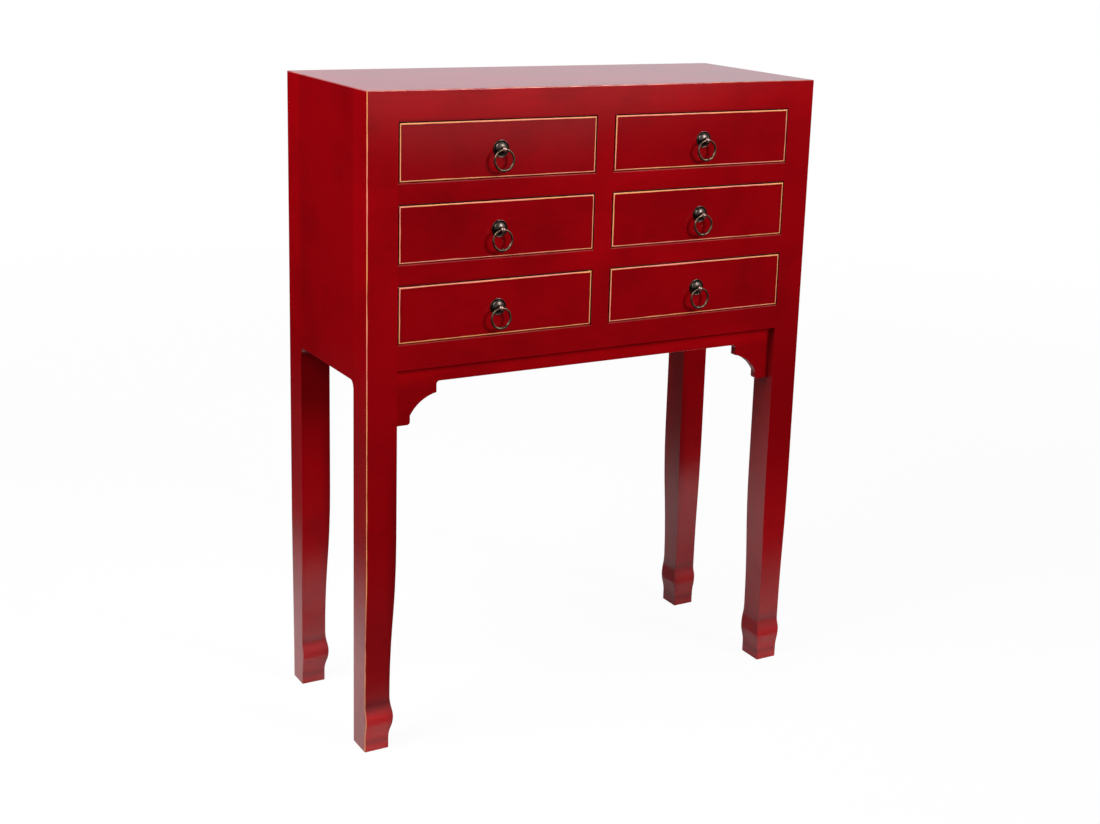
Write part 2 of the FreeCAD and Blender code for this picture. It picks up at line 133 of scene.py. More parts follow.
# Red lacquer: sprayed over an ochre ground, rubbed through on the arrises and toned with a dark glaze.
# It gives the eye a deep red satin, a thin warm line on each worn edge, and slow darker clouds;
# on the case it also carries painted shade and painted light, and in the drawers' joints painted shade.
# Values in braces, here and below, are mostly the settings of one node: a ramp or a bump.
lacquer = {
    "red": "#96030C",
    "bright": "#C8050F",                # painted light: a brighter red where the case should look lit
    "glazeAndShade": "#3C0206",
    "gold": "#FFAA66",                  # the ground turns from gold to salmon and back
    "salmon": "#FF9678",
    "toneLength": 110 * mm,
    "tone": {"From Min": 0.4, "From Max": 0.62},
    "wood": "#BE9868",                  # bare inside faces, and the fibres in them
    "fibre": "#8F6B42",
    "fibres": {"From Min": 0.35, "From Max": 0.7},
    "ior": 1.5,
    "satin": {"To Min": 0.11, "To Max": 0.75},         # roughness, and where nobody polishes
    "wornRoughness": 0.5,
    "lineSoft": 0.25 * mm,              # a worn line's border, how far it wanders and over what length
    "wander": 0.8 * mm,
    "wanderLength": 30 * mm,
    "cloudLength": 120 * mm,
    "cloudGrain": 0.64,
    "clouds": {"From Min": 0.55, "From Max": 0.85, "To Max": 0.34},
    "streak": 3 * mm,                   # brush marks, along X
    "streakSqueeze": 0.06,
    "streakShare": 0.25,
    "peelLength": 3 * mm,               # orange peel
    "peel": {"Strength": 0.3, "Distance": 0.01 * mm},
}


def nearestEdge(tree, a, b, c):
    # the middle one of three distances to a box's faces is the distance to its nearest edge
    low = addNode(tree, "Math", {"operation": "MINIMUM"}, {0: a, 1: b})
    high = addNode(tree, "Math", {"operation": "MAXIMUM"}, {0: a, 1: b})
    rest = addNode(tree, "Math", {"operation": "MINIMUM"}, {0: high, 1: c})
    return addNode(tree, "Math", {"operation": "MAXIMUM"}, {0: low, 1: rest})


def rubbedLine(tree, spot, distance, width):
    # 1 on the arris and 0 inside; the border wanders as a hand-rubbed one does
    wander = addNode(tree, "TexNoise", {"Scale": 1 / lacquer["wanderLength"], "Detail": 3.0},
                     {"Vector": spot})
    moved = addNode(tree, "Math", {"operation": "MULTIPLY_ADD", 1: 2 * lacquer["wander"]},
                    {0: wander, 2: distance})
    border = width + lacquer["wander"]
    soft = lacquer["lineSoft"]
    return addNode(tree, "MapRange", {"interpolation_type": "SMOOTHSTEP", "From Min": border - soft,
                                      "From Max": border + soft, "To Min": 1.0, "To Max": 0.0}, {0: moved})


def lacquerSkin(tree, spot, masks, lean=None):
    # masks: rubbed to the ochre, bare wood, shade (glaze at the drawers' rims, and painted shade), satin
    # where nobody polishes, and on the case bright, which is painted light; lean: a height in metres that
    # tilts the surface a little
    cloud = addNode(tree, "TexNoise", {"Scale": 1 / lacquer["cloudLength"], "Detail": 4.0,
                                       "Roughness": lacquer["cloudGrain"]}, {"Vector": spot})
    along = addNode(tree, "Mapping", {"Scale": (lacquer["streakSqueeze"], 1.0, 1.0)}, {0: spot})
    streak = addNode(tree, "TexNoise", {"Scale": 1 / lacquer["streak"], "Detail": 2.0}, {"Vector": along})
    uneven = addNode(tree, "Math", {"operation": "MULTIPLY_ADD", 1: lacquer["streakShare"]},
                     {0: streak, 2: cloud})
    toned = addNode(tree, "MapRange", lacquer["clouds"], {0: uneven})
    # dark glaze in the clouds, and painted shade wherever the shade mask reaches
    glazeAndShade = addNode(tree, "Math", {"operation": "MAXIMUM"}, {0: toned, 1: masks["shade"]})
    red = addNode(tree, "Mix", {"data_type": "RGBA", 6: linearColour(lacquer["red"]),
                                7: linearColour(lacquer["glazeAndShade"])}, {0: glazeAndShade})
    if "bright" in masks:
        coat = addNode(tree, "Mix", {"data_type": "RGBA", 6: linearColour(lacquer["red"]),
                                     7: linearColour(lacquer["bright"])}, {0: masks["bright"]})
        tree.links.new(coat.outputs[2], red.inputs[6])
    blend = addNode(tree, "TexNoise", {"Scale": 1 / lacquer["toneLength"], "Detail": 1.0}, {"Vector": spot})
    tone = addNode(tree, "MapRange", lacquer["tone"], {0: blend})
    ochre = addNode(tree, "Mix", {"data_type": "RGBA", 6: linearColour(lacquer["gold"]),
                                  7: linearColour(lacquer["salmon"])}, {0: tone})
    painted = addNode(tree, "Mix", {"data_type": "RGBA"},
                      {0: masks["rubbed"], 6: red.outputs[2], 7: ochre.outputs[2]})
    fibres = addNode(tree, "MapRange", lacquer["fibres"], {0: streak})
    bareWood = addNode(tree, "Mix", {"data_type": "RGBA", 6: linearColour(lacquer["wood"]),
                                     7: linearColour(lacquer["fibre"])}, {0: fibres})
    colour = addNode(tree, "Mix", {"data_type": "RGBA"},
                     {0: masks["bare"], 6: painted.outputs[2], 7: bareWood.outputs[2]})
    worn = addNode(tree, "Math", {"operation": "MAXIMUM"}, {0: masks["rubbed"], 1: masks["bare"]})
    satin = addNode(tree, "MapRange", lacquer["satin"], {0: masks["satin"]})
    rough = addNode(tree, "MapRange", {"To Max": lacquer["wornRoughness"]}, {0: worn, "To Min": satin})
    peel = addNode(tree, "TexNoise", {"Scale": 1 / lacquer["peelLength"], "Detail": 1.0}, {"Vector": spot})
    bump = addNode(tree, "Bump", lacquer["peel"], {"Height": peel})
    if lean:
        tilt = addNode(tree, "Bump", {"Strength": 1.0, "Distance": 1.0}, {"Height": lean})
        tree.links.new(tilt.outputs[0], bump.inputs["Normal"])
    shader = addNode(tree, "BsdfPrincipled", {"IOR": lacquer["ior"]},
                     {"Base Color": colour.outputs[2], "Roughness": rough, "Normal": bump})
    addNode(tree, "OutputMaterial", {}, {0: shader})


def casePlace(tree):
    # distances from the case's outer faces: in from a side, back from the front, down from the top
    spot, place, facing = restPlace(tree)
    out = addNode(tree, "Math", {"operation": "ABSOLUTE"}, {0: place[0]})
    return {
        "spot": spot, "x": place[0], "y": place[1], "z": place[2], "facing": facing, "out": out,
        "width": addNode(tree, "Math", {"operation": "SUBTRACT", 0: caseHigh.x}, {1: out}),
        "depth": addNode(tree, "Math", {"operation": "SUBTRACT", 1: caseLow.y}, {0: place[1]}),
        "height": addNode(tree, "Math", {"operation": "SUBTRACT", 0: caseHigh.z}, {1: place[2]}),
    }


# Faces of the case: by how far they turn, and for the legs by that times the distance from the middle
caseFaces = {
    "inward": {"From Min": -0.15, "From Max": -0.22},
    "carved": {"From Min": 0.22, "From Max": 0.15},
    "joint": {"From Min": -0.75, "From Max": -0.45},
    "front": {"From Min": -0.2, "From Max": -0.5},
    "skyward": {"From Min": 0.5, "From Max": 0.8},
    "slack": 0.1 * mm,                  # round the openings
    "railEnd": 0.5 * mm,                # the rails' arrises stop short by this
}


def railEdges(tree, at, levels):
    # distance from the rails' front arrises at these heights, and far away on the legs and the centre stile
    nearest = apart(tree, at["z"], levels[0])
    for level in levels[1:]:
        other = apart(tree, at["z"], level)
        nearest = addNode(tree, "Math", {"operation": "MINIMUM"}, {0: nearest, 1: other})
    arris = addNode(tree, "Math", {"operation": "MAXIMUM"}, {0: nearest, 1: at["depth"]})
    onRail = addNode(tree, "Math", {"operation": "COMPARE", 1: (openingSide + stileSide) / 2,
                                    2: (openingSide - stileSide) / 2 - caseFaces["railEnd"]}, {0: at["out"]})
    aside = addNode(tree, "Math", {"operation": "SUBTRACT", 0: 1.0}, {1: onRail})
    return addNode(tree, "Math", {"operation": "ADD"}, {0: arris, 1: aside})


def innerFaces(tree, at):
    # the legs' faces that look at each other, below the rails
    inward = addNode(tree, "Math", {"operation": "MULTIPLY"}, {0: at["x"], 1: at["facing"][0]})
    turned = addNode(tree, "MapRange", caseFaces["inward"], {0: inward})
    low = addNode(tree, "Math", {"operation": "LESS_THAN", 1: railBox[0].z}, {0: at["z"]})
    return addNode(tree, "Math", {"operation": "MULTIPLY"}, {0: turned, 1: low})


def jointFaces(tree, at):
    # the frame's faces in the joints round the drawers
    slack = caseFaces["slack"]
    turned = addNode(tree, "MapRange", caseFaces["joint"], {0: at["facing"][1]})
    inRows = addNode(tree, "Math", {"operation": "COMPARE", 1: (openingHigh + railBox[1].z) / 2,
                                    2: (openingHigh - railBox[1].z) / 2 + slack}, {0: at["z"]})
    inOpening = addNode(tree, "Math", {"operation": "LESS_THAN", 1: openingSide + slack}, {0: at["out"]})
    inBoth = addNode(tree, "Math", {"operation": "MULTIPLY"}, {0: inRows, 1: inOpening})
    return addNode(tree, "Math", {"operation": "MULTIPLY"}, {0: turned, 1: inBoth})


def carvedFaces(tree, at):
    # all faces of the legs but the outer ones, which the hoof's carving leaves plain
    outward = addNode(tree, "Math", {"operation": "MULTIPLY"}, {0: at["x"], 1: at["facing"][0]})
    return addNode(tree, "MapRange", caseFaces["carved"], {0: outward})


# Worn lines of the case
wear = {
    "leg": 0.8 * mm,                    # widths of the lines from their arrises
    "hoof": 0.64 * mm,
    "top": 0.5 * mm,
    "scuff": 0.35 * mm,
    "scuffLength": 70 * mm,
    "scuffs": {"From Min": 0.42, "From Max": 0.65, "To Max": 0.16},
    "topFront": 0.75,                   # how far the top's front and side arrises are rubbed through
    "topSide": 0.3,
    "leftward": {"From Min": -0.1, "From Max": 0.1, "To Min": 1.0, "To Max": 0.25},
    "front": {"From Min": -0.15, "From Max": -0.35},
}


def caseWear(tree, at):
    # crisp lines down the legs, faint ones on the right
    corner = addNode(tree, "Math", {"operation": "MAXIMUM"}, {0: at["width"], 1: at["depth"]})
    straight = rubbedLine(tree, at["spot"], corner, wear["leg"])
    leftward = addNode(tree, "MapRange", wear["leftward"], {0: at["x"]})
    # the front arris swings with the hoof, so there it is found by its distance from the side alone
    swung = rubbedLine(tree, at["spot"], at["width"], wear["hoof"])
    front = addNode(tree, "MapRange", wear["front"], {0: at["facing"][1]})
    onLeg = addNode(tree, "Math", {"operation": "LESS_THAN", 1: legBox[1].y - caseLow.y}, {0: at["depth"]})
    patches = [(straight, leftward), (swung, front, onLeg, leftward)]
    # paler lines round the top, most of all along its front
    for inward, share in (("depth", wear["topFront"]), ("width", wear["topSide"])):
        rim = addNode(tree, "Math", {"operation": "MAXIMUM"}, {0: at["height"], 1: at[inward]})
        line = rubbedLine(tree, at["spot"], rim, wear["top"])
        patches.append([addNode(tree, "Math", {"operation": "MULTIPLY", 1: share}, {0: line})])
    # a faint broken line under the drawers
    scuff = rubbedLine(tree, at["spot"], railEdges(tree, at, railTops), wear["scuff"])
    uneven = addNode(tree, "TexNoise", {"Scale": 1 / wear["scuffLength"], "Detail": 1.0},
                     {"Vector": at["spot"]})
    patches.append((scuff, addNode(tree, "MapRange", wear["scuffs"], {0: uneven})))
    return strongest(tree, patches)


# Bare inside of the case: how far in from its outer faces the lacquer ends
bareInside = {
    "side": 14.5 * mm,
    "top": 17.5 * mm,
    "inner": {"From Min": 0.0, "From Max": 0.4 * mm},
    "behind": {"From Min": 14 * mm, "From Max": 26 * mm},
    "ahead": {"From Min": caseHigh.y - 0.2 * mm, "From Max": caseHigh.y - 0.8 * mm},
}


def caseBare(tree, at):
    # inside faces stay bare wood: behind the rails, ahead of the rear, within the sides and under the top
    within = addNode(tree, "Math", {"operation": "SUBTRACT", 1: bareInside["side"]}, {0: at["width"]})
    under = addNode(tree, "Math", {"operation": "SUBTRACT", 1: bareInside["top"]}, {0: at["height"]})
    above = addNode(tree, "Math", {"operation": "SUBTRACT", 1: railBox[0].z}, {0: at["z"]})
    least = addNode(tree, "Math", {"operation": "MINIMUM"}, {0: within, 1: under})
    enclosed = addNode(tree, "Math", {"operation": "MINIMUM"}, {0: least, 1: above})
    inner = addNode(tree, "MapRange", bareInside["inner"], {0: enclosed})
    behind = addNode(tree, "MapRange", bareInside["behind"], {0: at["depth"]})
    ahead = addNode(tree, "MapRange", bareInside["ahead"], {0: at["y"]})
    return strongest(tree, [(inner, behind, ahead)])


# Painted shade on the case: heights and distances in metres, and how deep it lies
fading = {"interpolation_type": "SMOOTHSTEP", "From Min": 0.0, "To Max": 0.0}
paintedShade = {
    "legs": {"From Min": 24 * mm, "From Max": 38 * mm, "To Max": 0.45},
    "legsLow": {"From Min": 0.42, "From Max": 0.32},
    "legsInner": {"To Min": 1.0, "To Max": 0.3},
    "kneeHeight": 0.39,
    "knee": {**fading, "From Max": 0.2, "To Min": 0.25},
    "gapShade": {**fading, "From Max": 5 * mm, "To Min": 0.34},
    "joints": {"From Min": 0.5, "From Max": 0.8, "To Min": 0.8, "To Max": 0.0},
    "creaseHeight": 62 * mm,
    "crease": {**fading, "From Max": 14 * mm, "To Min": 0.4},
    "soleShadeHeight": 13 * mm,
    "soleShade": {**fading, "From Max": 8 * mm, "To Min": 0.42},
}


def caseShade(tree, at):
    # painted shade low down towards the inner arrises of the legs, but for the right front one
    inwards = addNode(tree, "MapRange", paintedShade["legs"], {0: at["width"]})
    low = addNode(tree, "MapRange", paintedShade["legsLow"], {0: at["z"]})
    leftward = addNode(tree, "Math", {"operation": "LESS_THAN", 1: 0.0}, {0: at["x"]})
    rearward = addNode(tree, "Math", {"operation": "GREATER_THAN", 1: 0.0}, {0: at["y"]})
    shaded = addNode(tree, "Math", {"operation": "MAXIMUM"}, {0: leftward, 1: rearward})
    lighter = addNode(tree, "MapRange", paintedShade["legsInner"], {0: innerFaces(tree, at)})
    # that one gets a band of painted shade, darkest at mid height
    knee = addNode(tree, "MapRange", paintedShade["knee"], {0: apart(tree, at["z"], paintedShade["kneeHeight"])})
    onRight = addNode(tree, "Math", {"operation": "GREATER_THAN", 1: openingSide}, {0: at["x"]})
    unshaded = addNode(tree, "Math", {"operation": "SUBTRACT"}, {0: onRight, 1: shaded})
    # painted shade along the rails' lower arrises, and in the joints round the drawers on faces that do not
    # look up
    gapShade = addNode(tree, "MapRange", paintedShade["gapShade"], {0: railEdges(tree, at, railFeet)})
    covered = addNode(tree, "MapRange", paintedShade["joints"], {0: at["facing"][2]})
    patches = [(inwards, shaded, low, lighter), (knee, unshaded), (gapShade,), (jointFaces(tree, at), covered)]
    # and painted shade in the crease above each hoof and in a band near its sole
    carved = carvedFaces(tree, at)
    for name in ("crease", "soleShade"):
        away = apart(tree, at["z"], paintedShade[name + "Height"])
        patches.append((addNode(tree, "MapRange", paintedShade[name], {0: away}), carved))
    return strongest(tree, patches)


# Painted light on the case, a brighter red where it should look lit: heights and distances in metres, and
# how strong it is
paintedLight = {
    "crown": {"From Min": 0.762, "From Max": 0.796, "To Max": 0.35},
    "hooves": {"From Min": 54 * mm, "From Max": 44 * mm},
    "near": {"From Min": 0.0, "From Max": 0.1, "To Min": 1.0, "To Max": 0.22},       # less on the rear legs
    "strip": {"From Min": railBox[0].z - 26 * mm, "From Max": railBox[0].z - 14 * mm, "To Max": 0.4},
    "recess": {"operation": "COMPARE", 1: 16 * mm, 2: 8 * mm},         # how far back, give or take
    "forward": {"From Min": -0.7, "From Max": -0.9},
    "stile": 0.05,
    "rails": {"interpolation_type": "SMOOTHSTEP", "From Min": 0.2, "From Max": 0.05, "To Max": 0.18},
    "rows": {"From Min": 0.56, "From Max": 0.6},
    "posts": {"From Min": halfPanel - 3 * mm, "From Max": halfPanel + 3 * mm, "To Max": 0.2},
    "upward": {"From Min": railBox[0].z - 0.1, "From Max": railBox[1].z + 0.1},
    "calf": {"From Min": 0.33, "From Max": 0.25, "To Max": 0.17},
    "shin": {"From Min": 0.31, "From Max": 0.19, "To Max": 0.3},
}


def casePaintedLight(tree, at):
    # painted light: a brighter red that stands in for light falling on these parts
    front = addNode(tree, "MapRange", caseFaces["front"], {0: at["facing"][1]})
    skyward = addNode(tree, "MapRange", caseFaces["skyward"], {0: at["facing"][2]})
    lit = addNode(tree, "Math", {"operation": "MAXIMUM"}, {0: front, 1: skyward})
    near = addNode(tree, "MapRange", paintedLight["near"], {0: at["y"]})
    rearward = addNode(tree, "Math", {"operation": "GREATER_THAN", 1: 0.0}, {0: at["y"]})
    leftward = addNode(tree, "Math", {"operation": "LESS_THAN", 1: legBox[1].x}, {0: at["x"]})
    rightward = addNode(tree, "Math", {"operation": "GREATER_THAN", 1: openingSide}, {0: at["x"]})
    # painted light on the top of the frame, the hooves, and the lower halves of the left rear leg and the
    # right front leg
    crown, hooves, calf, shin = (addNode(tree, "MapRange", paintedLight[name], {0: at["z"]})
                                 for name in ("crown", "hooves", "calf", "shin"))
    # painted light on the apron's strip, which is set back under the rail
    strip = addNode(tree, "MapRange", paintedLight["strip"], {0: at["z"]})
    recess = addNode(tree, "Math", paintedLight["recess"], {0: at["depth"]})
    forward = addNode(tree, "MapRange", paintedLight["forward"], {0: at["facing"][1]})
    # painted light on the rails' faces round the centre stile
    rails = addNode(tree, "MapRange", paintedLight["rails"], {0: apart(tree, at["x"], paintedLight["stile"])})
    inRows = addNode(tree, "MapRange", paintedLight["rows"], {0: at["z"]})
    # painted light on the left posts above the rail, a little lighter than the panel between them
    fromMiddle = apart(tree, at["y"], (caseHigh.y + caseLow.y) / 2)
    posts = addNode(tree, "MapRange", paintedLight["posts"], {0: fromMiddle})
    upward = addNode(tree, "MapRange", paintedLight["upward"], {0: at["z"]})
    return strongest(tree, [
        (crown, lit), (hooves, near, front), (strip, recess, forward), (rails, inRows, front),
        (jointFaces(tree, at), skyward),               # painted light on the rails' tops in the gaps under the drawers
        (posts, leftward, upward), (calf, leftward, rearward), (shin, rightward, near, front)])


# What is hard to polish: the hooves' shoulders, the legs' inner faces and the rails round the drawers
unpolished = {
    "shoulderHeight": 48 * mm,
    "shoulder": {"From Min": 14 * mm, "From Max": 8 * mm},
    "inner": 0.36,
    "ledges": {"From Min": 1.1 * mm, "From Max": 0.7 * mm},
}


def caseSatin(tree, at):
    away = apart(tree, at["z"], unpolished["shoulderHeight"])
    shoulder = addNode(tree, "MapRange", unpolished["shoulder"], {0: away})
    inner = addNode(tree, "Math", {"operation": "MULTIPLY", 1: unpolished["inner"]},
                    {0: innerFaces(tree, at)})
    ledges = addNode(tree, "MapRange", unpolished["ledges"], {0: railEdges(tree, at, railTops)})
    return strongest(tree, [(shoulder, carvedFaces(tree, at)), (inner,), (ledges,), (jointFaces(tree, at),)])


def caseLacquer():
    material, tree = newMaterial("redLacquerCase")
    at = casePlace(tree)
    lacquerSkin(tree, at["spot"], {"rubbed": caseWear(tree, at), "bare": caseBare(tree, at),
                                   "shade": caseShade(tree, at), "bright": casePaintedLight(tree, at),
                                   "satin": caseSatin(tree, at)})
    return material


# Drawer fronts: a worn line round each, glaze towards the rim, and painted shade on the faces in the joint
drawerWear = {
    "line": 1.45 * mm,
    "lift": 0.1 * mm,                   # by this the upper side of the line is wider and the lower narrower
    "overRim": 2.5,                     # how fast the line thins out over the rim
    "front": {"From Min": -0.5, "From Max": -0.75},
    "upper": {"From Min": 0.3, "From Max": 0.6},
    "bare": {"From Min": 6 * mm, "From Max": 13 * mm},                 # behind the face
    "rim": {"From Min": 7 * mm, "From Max": 0.0, "To Max": 0.3},
    "joint": {"From Min": -0.6, "From Max": -0.35},
    "jointShadeDepth": 0.8,
    "slopes": (-0.0096, 0.0, -0.002, 0.002, -0.001, 0.001),            # nothing hangs quite true
}


def drawerLacquer(drawer, slope):
    material, tree = newMaterial("redLacquer_" + drawer)
    spot, place, facing = restPlace(tree)
    low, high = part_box(drawer + "_front")
    reach = []
    for axis, lift in ((0, 0.0), (2, drawerWear["lift"])):
        away = apart(tree, place[axis], (low[axis] + high[axis]) / 2 - lift)
        half = (high[axis] - low[axis]) / 2
        reach.append(addNode(tree, "Math", {"operation": "SUBTRACT", 0: half}, {1: away}))
    depth = addNode(tree, "Math", {"operation": "SUBTRACT", 1: low.y}, {0: place[1]})
    inwards = addNode(tree, "Math", {"operation": "MULTIPLY", 1: drawerWear["overRim"]}, {0: depth})
    line = rubbedLine(tree, spot, nearestEdge(tree, reach[0], reach[1], inwards), drawerWear["line"])
    front = addNode(tree, "MapRange", drawerWear["front"], {0: facing[1]})
    upper = addNode(tree, "MapRange", drawerWear["upper"], {0: facing[2]})
    edge = addNode(tree, "Math", {"operation": "MINIMUM"}, {0: reach[0], 1: reach[1]})
    rim = addNode(tree, "MapRange", drawerWear["rim"], {0: edge})
    # painted shade on the drawer's faces in the joint
    joint = addNode(tree, "MapRange", drawerWear["joint"], {0: facing[1]})
    dark = addNode(tree, "Math", {"operation": "MULTIPLY", 1: drawerWear["jointShadeDepth"]}, {0: joint})
    lean = addNode(tree, "Math", {"operation": "MULTIPLY", 1: slope}, {0: place[2]}) if slope else None
    masks = {"rubbed": strongest(tree, [(line, front), (line, upper)]), "satin": joint,
             "shade": strongest(tree, [(rim,), (dark,)]),
             "bare": addNode(tree, "MapRange", drawerWear["bare"], {0: depth})}
    lacquerSkin(tree, spot, masks, lean)
    return material


# Bare paulownia boards, sawn and planed: pale straw, with plain growth rings and long fine fibres
wood = {
    "pale": "#DDBF93", "dark": "#B0854F", "ior": 1.5, "roughness": 0.6,
    "ring": 7 * mm, "pith": 70 * mm, "wobble": 26 * mm, "wobbleLength": 45 * mm,
    "late": {"interpolation_type": "SMOOTHSTEP", "From Min": 0.35, "From Max": 1.0, "To Max": 0.6},
    "fibre": 0.7 * mm, "stretch": 16.0, "fibreShare": 0.55, "paler": 0.15,
    "relief": {"Strength": 0.25, "Distance": 0.1 * mm},
}
waveLength = 2 * math.pi / 20                      # of Blender's wave texture at a scale of 1


def boards(name, axis):
    material, tree = newMaterial(name)
    spot = restPlace(tree)[0]
    squeeze = [1.0, 1.0, 1.0]
    squeeze[axis] = 1 / wood["stretch"]
    offset = [wood["pith"]] * 3
    offset[axis] = 0.0
    grain = addNode(tree, "Mapping", {"Location": offset, "Scale": squeeze}, {0: spot})
    drift = addNode(tree, "TexNoise", {"Scale": 1 / wood["wobbleLength"], "Detail": 2.0}, {"Vector": grain})
    grown = addNode(tree, "VectorMath", {"operation": "MULTIPLY_ADD", 1: [wood["wobble"]] * 3},
                    {0: drift.outputs["Color"], 2: grain})
    rings = addNode(tree, "TexWave", {"wave_type": "RINGS", "rings_direction": "XYZ"[axis],
                                      "wave_profile": "SAW", "Scale": waveLength / wood["ring"],
                                      "Distortion": 1.0, "Detail": 2.0}, {"Vector": grown})
    fibres = addNode(tree, "TexNoise", {"Scale": 1 / wood["fibre"], "Detail": 3.0}, {"Vector": grain})
    late = addNode(tree, "MapRange", wood["late"], {0: rings.outputs["Fac"]})
    tint = addNode(tree, "Math", {"operation": "MULTIPLY_ADD", 1: wood["fibreShare"]}, {0: fibres, 2: late})
    shade = addNode(tree, "Math", {"operation": "SUBTRACT", 1: wood["paler"]}, {0: tint})
    colour = addNode(tree, "Mix", {"data_type": "RGBA", 6: linearColour(wood["pale"]),
                                   7: linearColour(wood["dark"])}, {0: shade})
    bump = addNode(tree, "Bump", wood["relief"], {"Height": fibres})
    shader = addNode(tree, "BsdfPrincipled", {"Roughness": wood["roughness"], "IOR": wood["ior"]},
                     {"Base Color": colour.outputs[2], "Normal": bump})
    addNode(tree, "OutputMaterial", {}, {0: shader})
    return material


# Plywood: peeled veneer pressed in plies, so broad flames run along its faces and its edges show the layers
plywood = {
    "pale": "#D9B384", "dark": "#A97643", "glue": "#8A5E33", "ior": 1.5, "roughness": 0.55,
    "flame": 26 * mm, "stretch": 9.0, "twist": 0.6, "contours": 9.0, "contourShare": 0.9,
    "figure": {"From Min": 0.35, "From Max": 1.0},
    "pore": 1.2 * mm, "ply": 1.5 * mm,
    "relief": {"Strength": 0.2, "Distance": 0.08 * mm},
}


def veneeredBoard(name, thickness):
    # thickness: the axis across the plies; the face veneer runs along X
    material, tree = newMaterial(name)
    spot, place, facing = restPlace(tree)
    along = addNode(tree, "Mapping", {"Scale": (1 / plywood["stretch"], 1.0, 1.0)}, {0: spot})
    flames = addNode(tree, "TexNoise", {"Scale": 1 / plywood["flame"], "Detail": 1.0,
                                        "Distortion": plywood["twist"]}, {"Vector": along})
    contours = addNode(tree, "Math", {"operation": "MULTIPLY", 1: plywood["contours"]}, {0: flames})
    lines = addNode(tree, "Math", {"operation": "PINGPONG", 1: 0.5}, {0: contours})
    pores = addNode(tree, "TexNoise", {"Scale": 1 / plywood["pore"], "Detail": 2.0}, {"Vector": along})
    figure = addNode(tree, "Math", {"operation": "MULTIPLY_ADD", 1: plywood["contourShare"]},
                     {0: lines, 2: pores})
    tint = addNode(tree, "MapRange", plywood["figure"], {0: figure})
    face = addNode(tree, "Mix", {"data_type": "RGBA", 6: linearColour(plywood["pale"]),
                                 7: linearColour(plywood["dark"])}, {0: tint})
    layers = addNode(tree, "Math", {"operation": "PINGPONG", 1: plywood["ply"]}, {0: place[thickness]})
    crossPly = addNode(tree, "Math", {"operation": "GREATER_THAN", 1: plywood["ply"] / 2}, {0: layers})
    flat = addNode(tree, "Math", {"operation": "ABSOLUTE"}, {0: facing[thickness]})
    edge = addNode(tree, "Math", {"operation": "LESS_THAN", 1: 0.5}, {0: flat})
    layered = addNode(tree, "Math", {"operation": "MULTIPLY"}, {0: crossPly, 1: edge})
    colour = addNode(tree, "Mix", {"data_type": "RGBA", 7: linearColour(plywood["glue"])},
                     {0: layered, 6: face.outputs[2]})
    bump = addNode(tree, "Bump", plywood["relief"], {"Height": pores})
    shader = addNode(tree, "BsdfPrincipled", {"Roughness": plywood["roughness"], "IOR": plywood["ior"]},
                     {"Base Color": colour.outputs[2], "Normal": bump})
    addNode(tree, "OutputMaterial", {}, {0: shader})
    return material


# Antique bronze: cast, darkened in a bath and wiped back, so raised parts shine through a brown-black skin;
# its undersides are kept dark as painted shade
bronze = {
    "skin": "#30261F",
    "bright": {"rosette": "#948880", "ring": "#947E68", "post": "#A88A80"},
    "wipedAndLit": {"rosette": (0.0, 0.4), "ring": (0.0, 0.7), "post": (0.9, 1.0)},      # least and most
    "under": {"rosette": 0.0, "ring": 0.0, "post": 0.7},               # share of it on the underside, which otherwise stays dark as painted shade
    "reach": {"rosette": 1.08 * mm, "ring": 0.0, "post": 6.4 * mm},    # what lies deeper stays dark
    "roughness": {"rosette": 0.26, "ring": 0.32, "post": 0.45},
    "skinRougher": 0.08,
    "wipedSmoother": 0.05,
    "mottleLength": 6 * mm,
    "mottle": {"From Min": 0.25, "From Max": 0.7},
    "upper": {"From Min": -0.6, "From Max": 0.1},
    "raised": {"From Min": -0.1 * mm, "From Max": 0.1 * mm, "To Min": 0.03},
    "pitLength": 0.5 * mm,
    "pits": {"Strength": 0.2, "Distance": 0.03 * mm},
}


def antiqueBronze(part):
    # part: of a pull, since cloth and hands reach each one differently
    least, most = bronze["wipedAndLit"][part]
    material, tree = newMaterial("antiqueBronze_" + part)
    spot, place, facing = restPlace(tree)
    patches = addNode(tree, "TexNoise", {"Scale": 1 / bronze["mottleLength"], "Detail": 4.0},
                      {"Vector": spot})
    polish = addNode(tree, "MapRange", {**bronze["mottle"], "To Min": least, "To Max": most}, {0: patches})
    # darker skin on faces that look down: painted shade
    upper = addNode(tree, "MapRange", {**bronze["upper"], "To Min": bronze["under"][part]}, {0: facing[2]})
    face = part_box(drawers[0] + "_front")[0].y
    proud = addNode(tree, "Math", {"operation": "SUBTRACT", 0: face - bronze["reach"][part]}, {1: place[1]})
    raised = addNode(tree, "MapRange", bronze["raised"], {0: proud})
    wipedAndLit = strongest(tree, [(polish, upper, raised)])
    colour = addNode(tree, "Mix", {"data_type": "RGBA", 6: linearColour(bronze["skin"]),
                                   7: linearColour(bronze["bright"][part])}, {0: wipedAndLit})
    worn = bronze["roughness"][part]
    rough = addNode(tree, "MapRange", {"To Min": worn + bronze["skinRougher"],
                                       "To Max": worn - bronze["wipedSmoother"]}, {0: wipedAndLit})
    pits = addNode(tree, "TexNoise", {"Scale": 1 / bronze["pitLength"], "Detail": 2.0}, {"Vector": spot})
    bump = addNode(tree, "Bump", bronze["pits"], {"Height": pits})
    shader = addNode(tree, "BsdfPrincipled", {"Metallic": 1.0},
                     {"Base Color": colour.outputs[2], "Roughness": rough, "Normal": bump})
    addNode(tree, "OutputMaterial", {}, {0: shader})
    return material


